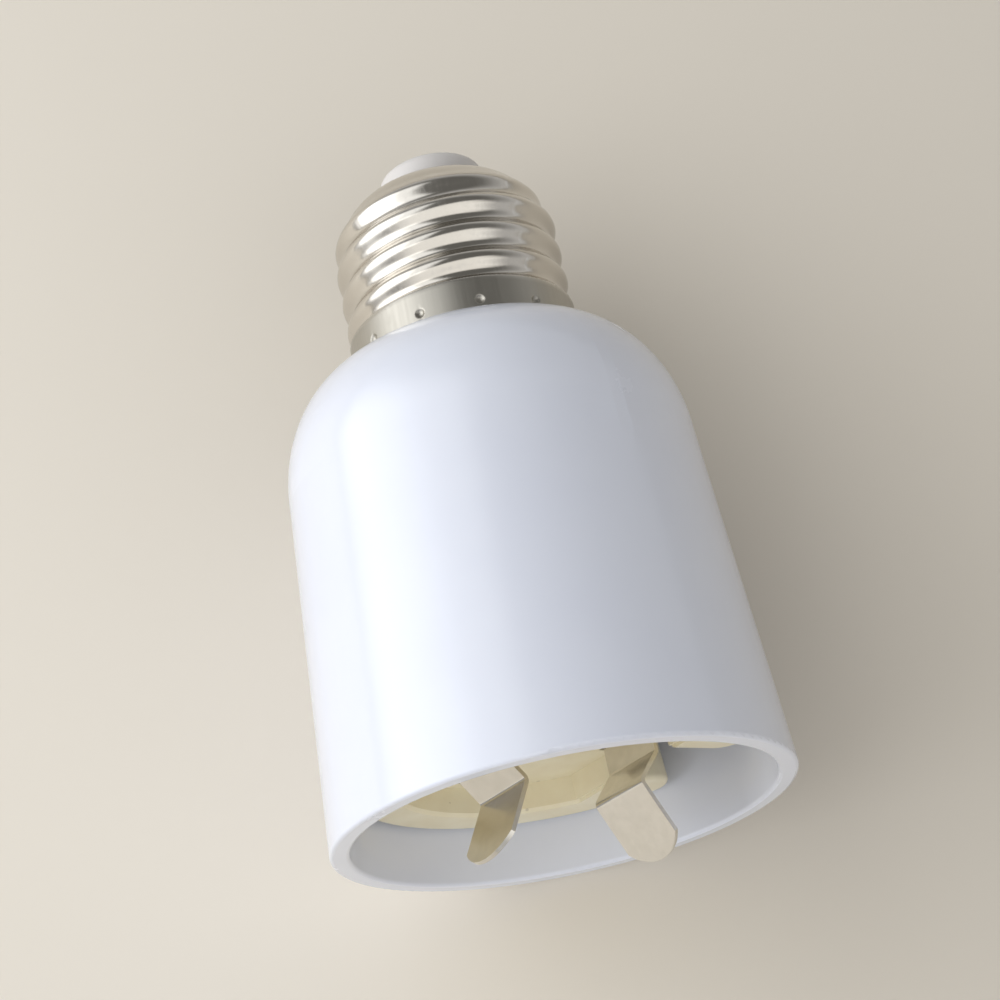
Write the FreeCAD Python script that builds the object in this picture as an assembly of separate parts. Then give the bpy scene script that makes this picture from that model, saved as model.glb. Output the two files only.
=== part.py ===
import FreeCAD, Part
import math
import os
from FreeCAD import Vector

# Lamp socket adapter: a screw cap at one end, a two-pin lamp holder in the mouth at the other.
# Every shape is drawn along +Z: Z = 0 is the seam between cap and housing, the cap points up,
# and the mouth faces down. lay_down() then turns that axis to +Y for the finished parts.
# All sizes are in millimetres and all angles in degrees.

# Housing
housing_length = 54.5
mouth_radius = 25.4
housing_wall = 2.2
draft_angle = 3.2
straight_length = 40.0
rim_round = 0.45
neck_seat_length = 4.2
neck_seat_step = 0.7
neck_wall = 2.55
nose_radius = 6.15
nose_stand = 2.6
nose_round = 1.0
nose_wall = 2.8
nose_bore_radius = 3.4
neck_cone_slope = 0.8

# Screw cap: rolled round thread of the 27 mm size
thread_root_radius = 12.25
thread_depth = 0.9
thread_pitch = 3.629
thread_round_share = 0.282447
thread_phase = 0.6
thread_fade_start = 15.4
thread_fade_end = 19.4
rows_per_turn = 8
columns_per_turn = 20
sheet = 0.3
collar_stand = 0.05
collar_length = 4.4
collar_step = 0.75
collar_overlap = 1.0
collar_embed = 0.05
dome_start = 15.2
dome_end = 23.0
dome_bulge = 2.35
cap_opening_radius = 6.45
punch_count = 12
punch_angle = 11.5
punch_height = 1.65
punch_radius = 0.62
punch_depth = 0.34

# Centre contact
contact_radius = 3.3
contact_thickness = 0.9
contact_round = 0.35
contact_shank_radius = 1.3
contact_shank_bore = 0.75
contact_head_core = 0.6
contact_flare = 0.9
contact_flare_thickness = 0.7
edge_break = 0.2

# Ceramic holder
holder_angle = 38.9
holder_play = 0.3
holder_depth = 6.3
holder_length = 17.8
holder_edge_round = 0.6
flange_gap = 0.45
flange_thickness = 5.2
holder_waist = 2.4
recess_radius = 17.6
recess_half_width = 12.0
recess_depth = 3.3
recess_lip = 0.4
slot_corner_round = 3.0
plate_thickness = 2.4
plate_radius = 17.6
wire_hole_radius = 1.55

# Pin sockets
pin_spacing = 12.0
pin_bore_radius = 1.25
front_wall = 3.0
socket_wall = 0.8
socket_length = 7.0
socket_slit = 0.5
socket_slit_length = 4.8
stem_radius = 0.95
stem_length = 1.8
chamber_radius = 2.75
spring_wall = 0.35
spring_height = 2.6
spring_gap_angle = 40.0
spring_offset = 1.2

# Retaining clips, as points of the strip's middle line: distance out from the axis, depth
clip_width = 8.4
clip_sheet = 0.5
clip_bend_radius = 0.45
clip_tip_out = 11.8
clip_tip_reach = 4.5
clip_pinch_out = 7.6
clip_pinch_depth = 2.95
clip_root_out = 10.6
clip_root_depth = 6.3
clip_foot_reach = 3.1
clip_tip_arc = 5.3
rivet_depth = 16.6
rivet_radius = 1.5
rivet_head_radius = 2.6
rivet_head_height = 0.8
rivet_head_round = 0.56
rivet_pocket_half_width = 3.1

# Screws and washers
screw_offset = 13.2
screw_radius = 1.45
screw_head_radius = 2.7
screw_head_height = 1.9
screw_engagement = 8.0
screw_cross_width = 0.8
screw_cross_depth = 1.1
screw_cross_reach = 1.62
screw_head_round = 0.8
screw_tip_radius = 0.3
washer_thickness = 0.7
washer_slit = 0.6
boss_radius = 3.3
boss_rib = 1.6

# Wires
jacket_radius = 1.0
strand_radius = 0.5
sleeve_wall = 0.35
sleeve_length = 17.0
crimp_wall = 0.45
crimp_length = 4.0
crimp_dent = 0.2
crimp_dent_margin = 0.55
neutral_exit_height = 3.3
neutral_tail = 1.5

# Clearances
part_gap = 0.5
slide_gap = 0.3
fit_gap = 0.05
crimp_gap = 0.08

# Sizes that follow from the ones above
Z_AXIS = Vector(0, 0, 1)
ORIGIN = Vector(0, 0, 0)
mouth_z = -housing_length
draft = math.tan(math.radians(draft_angle))
thread_major_radius = thread_root_radius + thread_depth
thread_round = thread_round_share * thread_pitch
collar_radius = thread_major_radius + collar_stand
nose_length = dome_end + nose_stand
shoulder_z = mouth_z + straight_length
shoulder_radius = mouth_radius - draft * straight_length
neck_seat_radius = collar_radius - sheet - fit_gap
neck_radius = thread_root_radius - sheet - fit_gap
neck_bore_radius = neck_radius - neck_wall
contact_hole_radius = contact_shank_radius + fit_gap
holder_z = mouth_z + holder_depth
flange_radius = mouth_radius - housing_wall - draft * holder_depth - flange_gap
flange_back_radius = flange_radius - draft * flange_thickness
waist_radius = flange_back_radius - holder_waist
holder_back_z = holder_z + holder_length
plate_back_z = holder_back_z + plate_thickness
floor_z = holder_z + recess_depth
chamber_z = floor_z + front_wall
slot_floor = clip_root_out - clip_sheet / 2 - slide_gap
slot_half_width = clip_width / 2 + part_gap
socket_radius = pin_bore_radius + socket_wall
socket_z = chamber_z + fit_gap
pin_offset = pin_spacing / 2
screw_hole_radius = screw_radius + slide_gap
counterbore_radius = screw_head_radius + part_gap
counterbore_z = floor_z + screw_head_height + washer_thickness + 2 * fit_gap + slide_gap
boss_hole_radius = screw_radius + fit_gap


# General shapes

def rounded_wire(corners, point):
    """Closed outline of straight sides whose corners (a, b, radius) are rounded by arcs."""
    count = len(corners)
    starts, ends, arcs = [], [], []
    for i in range(count):
        a, b, radius = corners[i]
        here = Vector(a, b, 0)
        before = Vector(corners[i - 1][0], corners[i - 1][1], 0)
        after = Vector(corners[(i + 1) % count][0], corners[(i + 1) % count][1], 0)
        to_before = (before - here).normalize()
        to_after = (after - here).normalize()
        if radius <= 0:
            starts.append(here)
            ends.append(here)
            arcs.append(None)
            continue
        half = to_before.getAngle(to_after) / 2
        reach = radius / math.tan(half)
        bisector = (to_before + to_after).normalize()
        middle = here + bisector * (radius / math.sin(half) - radius)
        starts.append(here + to_before * reach)
        ends.append(here + to_after * reach)
        arcs.append(middle)
    edges = []
    for i in range(count):
        if arcs[i] is not None:
            edges.append(Part.Arc(point(starts[i]), point(arcs[i]), point(ends[i])).toShape())
        leave, arrive = ends[i], starts[(i + 1) % count]
        if (arrive - leave).Length > 1e-6:
            edges.append(Part.LineSegment(point(leave), point(arrive)).toShape())
    return Part.Wire(edges)


def upright(vector):
    """Puts an outline drawn as (radius, height) in the XZ plane."""
    return Vector(vector.x, 0, vector.y)


def turned(corners):
    """Solid of revolution about Z from corners (radius, height, rounding)."""
    return Part.Face(rounded_wire(corners, upright)).revolve(ORIGIN, Z_AXIS, 360)


def turned_edges(edges):
    """Solid of revolution about Z from a closed run of edges in the XZ plane."""
    return Part.Face(Part.Wire(edges)).revolve(ORIGIN, Z_AXIS, 360)


def straight(start, end):
    """Edge between two (radius, height) points."""
    return Part.LineSegment(Vector(start[0], 0, start[1]), Vector(end[0], 0, end[1])).toShape()


def smooth(points):
    """Smooth edge through (radius, height) points."""
    curve = Part.BSplineCurve()
    curve.interpolate([Vector(a, 0, b) for a, b in points])
    return curve.toShape()


def cylinder(radius, low, high, x=0.0, y=0.0):
    return Part.makeCylinder(radius, high - low, Vector(x, y, low), Z_AXIS)


def block(low, high):
    size = [high[i] - low[i] for i in range(3)]
    return Part.makeBox(size[0], size[1], size[2], Vector(*low))


def cable(start, bends, end, radius):
    """Round cable: straight up from start, through the bends on a smooth curve, straight to end."""
    curve = Part.BSplineCurve()
    curve.interpolate(Points=bends, InitialTangent=Z_AXIS, FinalTangent=Z_AXIS)
    path = Part.Wire([Part.LineSegment(start, bends[0]).toShape(), curve.toShape(),
                      Part.LineSegment(bends[-1], end).toShape()])
    section = Part.Wire([Part.makeCircle(radius, start, Z_AXIS)])
    return path.makePipeShell([section], True, False)


def rod(start, end, radius):
    """Plain round rod between two points."""
    return Part.makeCylinder(radius, (end - start).Length, start, end - start)


def around(radius, angle, height):
    """Point at a radius, an angle and a height about the main axis."""
    turn = math.radians(angle)
    return Vector(radius * math.cos(turn), radius * math.sin(turn), height)


def ease(value, low, high):
    """Runs smoothly from 0 at low to 1 at high."""
    share = min(max((value - low) / (high - low), 0.0), 1.0)
    return share * share * (3 - 2 * share)


def holder_turn(shape):
    """Turns a shape drawn in the holder's frame (clips along X, pins along Y) into place.

    The holder sits to one side by its play in the housing."""
    shape.rotate(ORIGIN, Z_AXIS, holder_angle)
    shape.translate(Vector(holder_play, 0, 0))
    return shape


# Housing

def shoulder_curve(centre, start_radius, start_z, top_z, steps=8):
    """Quarter oval from the drafted wall over to the neck, as (radius, height) points."""
    points = []
    for i in range(steps + 1):
        turn = math.pi / 2 * i / steps
        radius = centre + (start_radius - centre) * math.cos(turn)
        points.append((radius, start_z + (top_z - start_z) * math.sin(turn)))
    return points


def dome_radius_at(share):
    """Share of the dome's radius left at a share of its height, from the thread to the end."""
    return (1 - share ** dome_bulge) ** (1 / dome_bulge)


def dome_points(inset, start, steps=9):
    """Outline of the cap's domed end, moved inwards by an inset."""
    root = thread_root_radius - inset
    end_turn = math.asin(dome_radius_at(cap_opening_radius / root))
    points = []
    for i in range(steps + 1):
        share = math.sin(end_turn * i / steps)
        points.append((root * dome_radius_at(share), start + (dome_end - inset - start) * share))
    return points


def housing_outside():
    """Housing as one solid lump: bell, neck and nose."""
    shoulder = shoulder_curve(neck_seat_radius, shoulder_radius, shoulder_z, 0)
    step_z = neck_seat_length + neck_seat_step
    neck_dome = dome_points(sheet + 3 * fit_gap, dome_start)
    neck_dome[0] = (neck_radius, dome_start)
    nose_start = neck_dome[-1]
    rim = straight((0, mouth_z), (mouth_radius, mouth_z))
    wall = straight((mouth_radius, mouth_z), shoulder[0])
    seat = straight(shoulder[-1], (neck_seat_radius, neck_seat_length))
    step = straight((neck_seat_radius, neck_seat_length), (neck_radius, step_z))
    neck = straight((neck_radius, step_z), neck_dome[0])
    ledge = straight(nose_start, (nose_radius, nose_start[1]))
    side_end = (nose_radius, nose_length - nose_round)
    side = straight((nose_radius, nose_start[1]), side_end)
    bend = nose_round * (1 - math.sqrt(0.5))
    corner = Part.Arc(Vector(nose_radius, 0, side_end[1]),
                      Vector(nose_radius - bend, 0, nose_length - bend),
                      Vector(nose_radius - nose_round, 0, nose_length)).toShape()
    top = straight((nose_radius - nose_round, nose_length), (0, nose_length))
    axis = straight((0, nose_length), (0, mouth_z))
    return turned_edges([rim, wall, smooth(shoulder), seat, step, neck, smooth(neck_dome),
                         ledge, side, corner, top, axis])


def housing_inside():
    """Space inside the housing: mouth, shoulder, neck bore, nose bore and contact hole."""
    inner_mouth = mouth_radius - housing_wall
    inner_shoulder = shoulder_curve(neck_bore_radius, shoulder_radius - housing_wall,
                                    shoulder_z, -housing_wall)
    bore_end = dome_start - fit_gap
    cone_end = bore_end + (neck_bore_radius - nose_bore_radius) * neck_cone_slope
    below = mouth_z - 1
    edges = [
        straight((0, below), (inner_mouth + draft, below)),
        straight((inner_mouth + draft, below), inner_shoulder[0]),
        smooth(inner_shoulder),
        straight(inner_shoulder[-1], (neck_bore_radius, bore_end)),
        straight((neck_bore_radius, bore_end), (nose_bore_radius, cone_end)),
        straight((nose_bore_radius, cone_end), (nose_bore_radius, nose_length - nose_wall)),
        straight((nose_bore_radius, nose_length - nose_wall), (0, nose_length - nose_wall)),
        straight((0, nose_length - nose_wall), (0, below)),
    ]
    hole = cylinder(contact_hole_radius, nose_length - nose_wall - 1, nose_length + 1)
    return turned_edges(edges).fuse(hole)


def housing_bosses(outside):
    """Two screw pillars with ribs to the wall, kept inside the housing's skin."""
    pillars = []
    for side in (-1, 1):
        y = side * screw_offset
        pillar = cylinder(boss_radius, plate_back_z, -housing_wall / 2, 0, y)
        low_y, high_y = sorted((y, side * (mouth_radius - housing_wall / 2)))
        rib = block((-boss_rib / 2, low_y, plate_back_z + screw_engagement),
                    (boss_rib / 2, high_y, -housing_wall / 2))
        pillars.append(pillar.fuse(rib))
    return holder_turn(pillars[0].fuse(pillars[1])).common(outside)


def make_housing():
    outside = housing_outside()
    rim_edges = []
    body = outside.cut(housing_inside())
    for edge in body.Edges:
        centre = edge.BoundBox
        at_mouth = abs(centre.ZMin - mouth_z) < 1e-4 and abs(centre.ZMax - mouth_z) < 1e-4
        if at_mouth:
            rim_edges.append(edge)
    body = body.makeFillet(rim_round, rim_edges)
    body = body.fuse(housing_bosses(outside))
    holes = []
    for side in (-1, 1):
        depth = plate_back_z + screw_engagement + 2 * part_gap
        holes.append(cylinder(boss_hole_radius, plate_back_z - 1, depth, 0, side * screw_offset))
    body = body.cut(holder_turn(holes[0].fuse(holes[1])))
    for i in range(punch_count):
        body = body.cut(punch_ball(i, punch_radius + sheet + fit_gap))
    return body.cut(neutral_groove())


# Screw cap

def thread_drop(distance):
    """How far the rolled thread lies below its crest at an axial distance from the crest."""
    half_pitch = thread_pitch / 2
    reach = 2 * thread_round - thread_depth
    lean = math.asin(2 * thread_round / math.hypot(half_pitch, reach))
    lean -= math.atan2(reach, half_pitch)
    arc = thread_round * math.sin(lean)
    if distance < arc:
        return thread_round - math.sqrt(thread_round ** 2 - distance ** 2)
    if distance < half_pitch - arc:
        return thread_round * (1 - math.cos(lean)) + (distance - arc) * math.tan(lean)
    left = half_pitch - distance
    return thread_depth - (thread_round - math.sqrt(thread_round ** 2 - left ** 2))


def thread_height(angle, height):
    """Height of the right-hand thread above its root at an angle in turns and a height."""
    along = (height - thread_phase) / thread_pitch - angle
    distance = abs(along - round(along)) * thread_pitch
    return thread_depth - thread_drop(distance)


def cap_rows(inset):
    """Rows of the cap's skin without its thread, from inside the collar to the domed end."""
    low = collar_length - collar_overlap
    count = int(math.ceil((dome_start - low) / thread_pitch * rows_per_turn))
    rows = []
    for i in range(count):
        rows.append((thread_root_radius - inset, low + (dome_start - low) * i / count))
    return rows + dome_points(inset, dome_start)


def net_gain(count):
    """How far a smooth net of so many points a turn falls short of the points that pull it."""
    return 3 / (2 + math.cos(2 * math.pi / count))


def cap_skin(inset):
    """Threaded skin surface of the cap, moved inwards by an inset."""
    mean_lift = thread_depth / 2
    hidden = -collar_embed if inset == 0 else collar_embed
    rows = cap_rows(inset)
    poles = []
    for i in range(columns_per_turn):
        turn = 2 * math.pi * i / columns_per_turn
        line = []
        for root, height in rows:
            collar = 1 - ease(height, collar_length, collar_length + collar_step)
            fade = 1 - ease(height, thread_fade_start, thread_fade_end)
            wave = thread_height(i / columns_per_turn, height) - mean_lift
            lift = (mean_lift + wave * net_gain(rows_per_turn)) * fade * (1 - collar)
            step = (collar_radius - thread_root_radius + hidden) * collar
            radius = net_gain(columns_per_turn) * (root + lift + step)
            line.append(Vector(radius * math.cos(turn), radius * math.sin(turn), height))
        poles.append(line)
    spans = len(rows) - 3
    surface = Part.BSplineSurface()
    surface.buildFromPolesMultsKnots(
        poles, [1] * (columns_per_turn + 1), [4] + [1] * (spans - 1) + [4],
        list(range(columns_per_turn + 1)), list(range(spans + 1)), True, False, 3, 3)
    return surface.toShape()


def end_edge(skin, low_end):
    """Closed edge at the rim or at the domed end of a skin."""
    closed = [edge for edge in skin.Edges if edge.isClosed()]
    closed.sort(key=lambda edge: edge.BoundBox.ZMin)
    return closed[0] if low_end else closed[-1]


def punch_ball(index, radius):
    """Ball at one of the punch marks that lock the cap to the neck."""
    angle = punch_angle + 360 / punch_count * index
    out = collar_radius + punch_radius - punch_depth
    return Part.makeSphere(radius, around(out, angle, punch_height))


def make_cap_shell():
    outer, inner = cap_skin(0), cap_skin(sheet)
    faces = [outer, inner]
    for low_end in (True, False):
        faces.append(Part.makeRuledSurface(end_edge(outer, low_end), end_edge(inner, low_end)))
    skin = Part.makeShell(faces)
    skin.sewShape()
    shell = Part.makeSolid(skin)
    collar = turned([(collar_radius - sheet, 0, 0), (collar_radius, 0, 0),
                     (collar_radius, collar_length, 0), (collar_radius - sheet, collar_length, 0)])
    limit = cylinder(collar_radius - sheet / 2, 0, collar_length)
    for i in range(punch_count):
        bump = punch_ball(i, punch_radius + sheet).common(limit)
        collar = collar.fuse(bump).cut(punch_ball(i, punch_radius))
    return shell.fuse(collar)


def make_centre_contact():
    """Button with a tubular shank that is spread over inside the nose."""
    low = nose_length - nose_wall - contact_flare_thickness
    top = nose_length + contact_thickness
    flare = contact_shank_radius + contact_flare
    inner = nose_length - nose_wall
    return turned([
        (0, nose_length, 0),
        (contact_shank_radius, nose_length, 0),
        (contact_shank_radius, inner, 0),
        (flare, inner, 0),
        (flare, low, edge_break),
        (contact_shank_bore, low, 0),
        (contact_shank_bore, nose_length - contact_head_core, 0),
        (0, nose_length - contact_head_core, 0),
    ]).fuse(turned([
        (0, nose_length, 0),
        (contact_radius, nose_length, 0),
        (contact_radius, top, contact_round),
        (0, top, 0),
    ])).removeSplitter()


# Ceramic holder, in its own frame: clips on the X axis, pins and screws on the Y axis

def slotted_disc(low_radius, high_radius, low, high, corner_round):
    """Drafted disc with an open slot for each clip, whose outer corners are rounded."""
    if low_radius == high_radius:
        disc = cylinder(low_radius, low, high)
    else:
        disc = Part.makeCone(low_radius, high_radius, high - low, Vector(0, 0, low), Z_AXIS)
    for side in (-1, 1):
        near, far = sorted((side * slot_floor, side * (low_radius + 1)))
        disc = disc.cut(block((near, -slot_half_width, low - 1), (far, slot_half_width, high + 1)))
    corners = []
    for edge in disc.Edges:
        box = edge.BoundBox
        if box.ZMax - box.ZMin > high - low - 1e-3 and abs(box.Center.x) > slot_floor + 1:
            corners.append(edge)
    return disc.makeFillet(corner_round, corners)


def holder_recess():
    """Pocket for the lamp's foot: a disc with two flats, wider at its lip."""
    flats = block((-recess_half_width, -recess_radius - 1, holder_z - 1),
                  (recess_half_width, recess_radius + 1, floor_z))
    pocket = cylinder(recess_radius, holder_z - 1, floor_z).common(flats)
    lip_disc = turned([(0, holder_z - 1, 0), (recess_radius + recess_lip + 1, holder_z - 1, 0),
                       (recess_radius, holder_z + recess_lip, 0), (0, holder_z + recess_lip, 0)])
    wide = recess_half_width + recess_lip
    lip_flats = block((-wide, -recess_radius - 2, holder_z - 1), (wide, recess_radius + 2, floor_z))
    return pocket.fuse(lip_disc.common(lip_flats))


def holder_blank():
    """Front flange that follows the housing's draft, on a narrower waist."""
    flange_back_z = holder_z + flange_thickness
    flange = slotted_disc(flange_radius, flange_back_radius, holder_z, flange_back_z,
                          slot_corner_round)
    front = [e for e in flange.Edges
             if abs(e.BoundBox.ZMin - holder_z) < 1e-4 and abs(e.BoundBox.ZMax - holder_z) < 1e-4]
    flange = flange.makeFillet(holder_edge_round, front)
    return flange.fuse(slotted_disc(waist_radius, waist_radius, flange_back_z, holder_back_z,
                                    slot_corner_round / 2))


def make_holder_body():
    body = holder_blank().cut(holder_recess())
    for side in (-1, 1):
        y = side * pin_offset
        body = body.cut(cylinder(pin_bore_radius, floor_z - 1, chamber_z + 1, 0, y))
        body = body.cut(cylinder(chamber_radius, chamber_z, holder_back_z + 1, 0, y))
        y = side * screw_offset
        body = body.cut(cylinder(screw_hole_radius, floor_z, holder_back_z + 1, 0, y))
        body = body.cut(cylinder(counterbore_radius, floor_z - 1, counterbore_z, 0, y))
        low_x, high_x = sorted((side * rivet_pocket_inner(), side * rivet_pocket_outer()))
        pocket = block((low_x, -rivet_pocket_half_width, rivet_z() - rivet_pocket_half_width),
                       (high_x, rivet_pocket_half_width, holder_back_z + 1))
        body = body.cut(pocket)
        body = body.cut(rod(Vector(side * rivet_pocket_inner(), 0, rivet_z()),
                            Vector(side * (slot_floor + 1), 0, rivet_z()), rivet_radius + fit_gap))
    return holder_turn(body)


def rivet_z():
    return mouth_z + rivet_depth


def rivet_pocket_outer():
    """The pocket behind each clip leaves a wall that the rivet clamps."""
    return slot_floor - front_wall


def rivet_pocket_inner():
    return rivet_pocket_outer() - 4 * rivet_head_height


def make_back_plate():
    """Ceramic cover over the contact chambers, cut back at the clips."""
    width = slot_floor - part_gap
    plate = cylinder(plate_radius, holder_back_z, plate_back_z)
    plate = plate.common(block((-width, -plate_radius, holder_back_z),
                               (width, plate_radius, plate_back_z)))
    for side in (-1, 1):
        plate = plate.cut(cylinder(wire_hole_radius, holder_back_z, plate_back_z, 0, side * pin_offset))
        plate = plate.cut(cylinder(screw_hole_radius, holder_back_z, plate_back_z, 0, side * screw_offset))
    return holder_turn(plate)


# Retaining clips

def strip_corners(path, thickness, bend):
    """Outline of a bent strip of even thickness about a middle line of (out, height) points."""
    def side_line(sign):
        line = []
        last = len(path) - 1
        for i in range(last + 1):
            before = path[max(i - 1, 0)]
            here = path[i]
            after = path[min(i + 1, last)]
            first = Vector(here[0] - before[0], here[1] - before[1], 0) if i else None
            second = Vector(after[0] - here[0], after[1] - here[1], 0) if i < last else None
            first = (first or second).normalize()
            second = (second or first).normalize()
            miter = Vector(-first.y - second.y, first.x + second.x, 0).normalize()
            reach = sign * thickness / 2 / miter.dot(Vector(-first.y, first.x, 0))
            outside = (first.x * second.y - first.y * second.x) * sign < 0
            radius = 0 if i in (0, last) else bend + (thickness if outside else 0)
            line.append((here[0] + miter.x * reach, here[1] + miter.y * reach, radius))
        return line
    return side_line(1) + side_line(-1)[::-1]


def clip_path():
    return [(clip_tip_out, mouth_z - clip_tip_reach),
            (clip_pinch_out, mouth_z + clip_pinch_depth),
            (clip_root_out, mouth_z + clip_root_depth),
            (clip_root_out, rivet_z() + clip_foot_reach)]


def make_clip(side):
    """One spring strip: root against the ceramic, pinch bend, flared and rounded tip."""
    path = clip_path()
    outline = rounded_wire(strip_corners(path, clip_sheet, clip_bend_radius), upright)
    strip = Part.Face(outline).extrude(Vector(0, clip_width, 0))
    strip.translate(Vector(0, -clip_width / 2, 0))
    tip = Vector(path[0][0], 0, path[0][1])
    along = Vector(path[1][0] - path[0][0], 0, path[1][1] - path[0][1]).normalize()
    normal = Vector(-along.z, 0, along.x)
    centre = tip + along * clip_tip_arc
    keep = Part.makeCylinder(clip_tip_arc, 6 * clip_sheet, centre - normal * (3 * clip_sheet), normal)
    half_chord = clip_width / 2
    reach = clip_tip_arc - math.sqrt(clip_tip_arc ** 2 - half_chord ** 2)
    frame = FreeCAD.Placement(tip, FreeCAD.Rotation(along, Vector(0, 1, 0), normal, "XYZ"))
    corner = block((-1, -clip_width, -3 * clip_sheet), (reach, clip_width, 3 * clip_sheet))
    corner.Placement = frame
    strip = strip.cut(corner.cut(keep))
    hole = rod(Vector(slot_floor - 1, 0, rivet_z()), Vector(slot_floor + 2, 0, rivet_z()),
               rivet_radius + fit_gap)
    strip = strip.cut(hole)
    if side < 0:
        strip.rotate(ORIGIN, Z_AXIS, 180)
    return holder_turn(strip)


def make_clip_rivet(side):
    """Rivet that carries the clip's foot on its shank and is spread inside the ceramic wall."""
    inner = rivet_pocket_outer()
    outer = clip_root_out + clip_sheet / 2 + slide_gap
    spread = rivet_head_radius - 2 * rivet_head_height / 3
    rivet = turned([
        (0, inner - rivet_head_height, 0),
        (spread, inner - rivet_head_height, edge_break),
        (spread, inner, 0),
        (rivet_radius, inner, 0),
        (rivet_radius, outer, 0),
        (rivet_head_radius, outer, 0),
        (rivet_head_radius, outer + rivet_head_height, rivet_head_round),
        (0, outer + rivet_head_height, 0),
    ])
    rivet.rotate(ORIGIN, Vector(0, 1, 0), 90)
    rivet.translate(Vector(0, 0, rivet_z()))
    if side < 0:
        rivet.rotate(ORIGIN, Z_AXIS, 180)
    return holder_turn(rivet)


# Pin sockets, their springs and crimps

def stem_z():
    return socket_z + socket_length


def make_pin_socket(side):
    """Slit tube that grips a lamp pin, with a stem for the wire's crimp."""
    tube = turned([
        (pin_bore_radius, socket_z, edge_break),
        (socket_radius, socket_z, 0),
        (socket_radius, stem_z(), edge_break),
        (stem_radius, stem_z(), 0),
        (stem_radius, stem_z() + stem_length, edge_break),
        (0, stem_z() + stem_length, 0),
        (0, stem_z() - socket_wall, 0),
        (pin_bore_radius, stem_z() - socket_wall, 0),
    ])
    half = socket_slit / 2
    slit = block((-half, -socket_radius - 1, socket_z - 1),
                 (half, socket_radius + 1, socket_z + socket_slit_length))
    tube = tube.cut(slit)
    tube.translate(Vector(0, side * pin_offset, 0))
    return holder_turn(tube)


def make_socket_spring(side):
    """Open ring that squeezes the slit tube."""
    inner = socket_radius + fit_gap / 2
    low = socket_z + spring_offset
    ring = turned([
        (inner, low, 0),
        (inner + spring_wall, low, edge_break / 2),
        (inner + spring_wall, low + spring_height, edge_break / 2),
        (inner, low + spring_height, 0),
    ])
    half = inner * math.sin(math.radians(spring_gap_angle / 2))
    gap = block((0, -half, low - 1), (inner + 2, half, low + spring_height + 1))
    ring = ring.cut(gap)
    if side < 0:
        ring.rotate(ORIGIN, Z_AXIS, 180)
    ring.translate(Vector(0, side * pin_offset, 0))
    return holder_turn(ring)


def crimp_z():
    return stem_z() + fit_gap


def make_wire_crimp(side):
    """Ferrule over the socket's stem and the wire's bare strand."""
    outer = stem_radius + crimp_gap + crimp_wall
    split = crimp_z() + stem_length
    end = crimp_z() + crimp_length
    ferrule = turned([
        (stem_radius + crimp_gap, crimp_z(), 0),
        (outer, crimp_z(), edge_break),
        (outer, end, edge_break),
        (strand_radius + crimp_gap, end, 0),
        (strand_radius + crimp_gap, split, 0),
        (stem_radius + crimp_gap, split, 0),
    ])
    dent = block((outer - crimp_dent, -outer, split + crimp_dent_margin),
                 (outer + 1, outer, end - crimp_dent_margin))
    ferrule = ferrule.cut(dent)
    ferrule.translate(Vector(0, side * pin_offset, 0))
    return holder_turn(ferrule)


# Wires and their heat sleeves

def jacket_z():
    return crimp_z() + crimp_length + fit_gap


def pin_line(side, height):
    """Point above one pin socket, in the finished orientation."""
    return around(pin_offset, holder_angle + side * 90, height) + Vector(holder_play, 0, 0)


def sleeve_end_z():
    return holder_back_z + part_gap + sleeve_length


def make_wire_live():
    """Wire from the upper pin socket up the middle of the neck into the centre contact."""
    turn_z = sleeve_end_z() + 2 * jacket_radius
    top = nose_length - nose_wall - contact_flare_thickness - 2 * part_gap
    low, high = pin_line(1, turn_z), Vector(0, 0, neck_seat_length)
    bends = [low, (low + high) * 0.5, high]
    jacket = cable(pin_line(1, jacket_z()), bends, Vector(0, 0, top), jacket_radius)
    low_strand = rod(pin_line(1, crimp_z() + stem_length + 2 * fit_gap),
                     pin_line(1, jacket_z() + jacket_radius), strand_radius)
    strand_top = nose_length - contact_head_core - 2 * fit_gap
    high_strand = rod(Vector(0, 0, top - jacket_radius), Vector(0, 0, strand_top), strand_radius)
    return jacket.fuse([low_strand, high_strand])


def neutral_angle():
    """Halfway between two punch marks, on the side of the lower pin socket."""
    step = 360 / punch_count
    wanted = holder_angle - 90
    return punch_angle + (round((wanted - punch_angle) / step - 0.5) + 0.5) * step


def neutral_point(radius, height):
    return around(radius, neutral_angle(), height)


def neutral_groove():
    """Hole through the neck's wall and a groove outside it for the neutral strand."""
    radius = strand_radius + crimp_gap
    seat = neck_seat_radius - radius + fit_gap
    hole = rod(neutral_point(neck_bore_radius - 1, neutral_exit_height),
               neutral_point(seat, neutral_exit_height), radius)
    low = neutral_exit_height - neutral_tail
    groove = rod(neutral_point(seat, low - radius), neutral_point(seat, neutral_exit_height), radius)
    return hole.fuse(groove).fuse(Part.makeSphere(radius, neutral_point(seat, neutral_exit_height)))


def make_wire_neutral():
    """Wire from the lower pin socket to the strand that is trapped under the cap's collar."""
    turn_z = sleeve_end_z() + jacket_radius
    inside = neck_bore_radius - jacket_radius - part_gap
    low = pin_line(-1, turn_z)
    high = neutral_point(inside, neutral_exit_height - 3 * jacket_radius)
    middle = (low + high) * 0.5
    jacket = cable(pin_line(-1, jacket_z()), [low, middle, high],
                   neutral_point(inside, neutral_exit_height + jacket_radius), jacket_radius)
    corner = neutral_point(neck_seat_radius - strand_radius, neutral_exit_height)
    tail = neutral_point(neck_seat_radius - strand_radius, neutral_exit_height - neutral_tail)
    bare = rod(pin_line(-1, crimp_z() + stem_length + 2 * fit_gap),
               pin_line(-1, jacket_z() + jacket_radius), strand_radius)
    across = rod(neutral_point(inside, neutral_exit_height), corner, strand_radius)
    return jacket.fuse([bare, across, Part.makeSphere(strand_radius, corner),
                        rod(tail, corner, strand_radius)])


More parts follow.
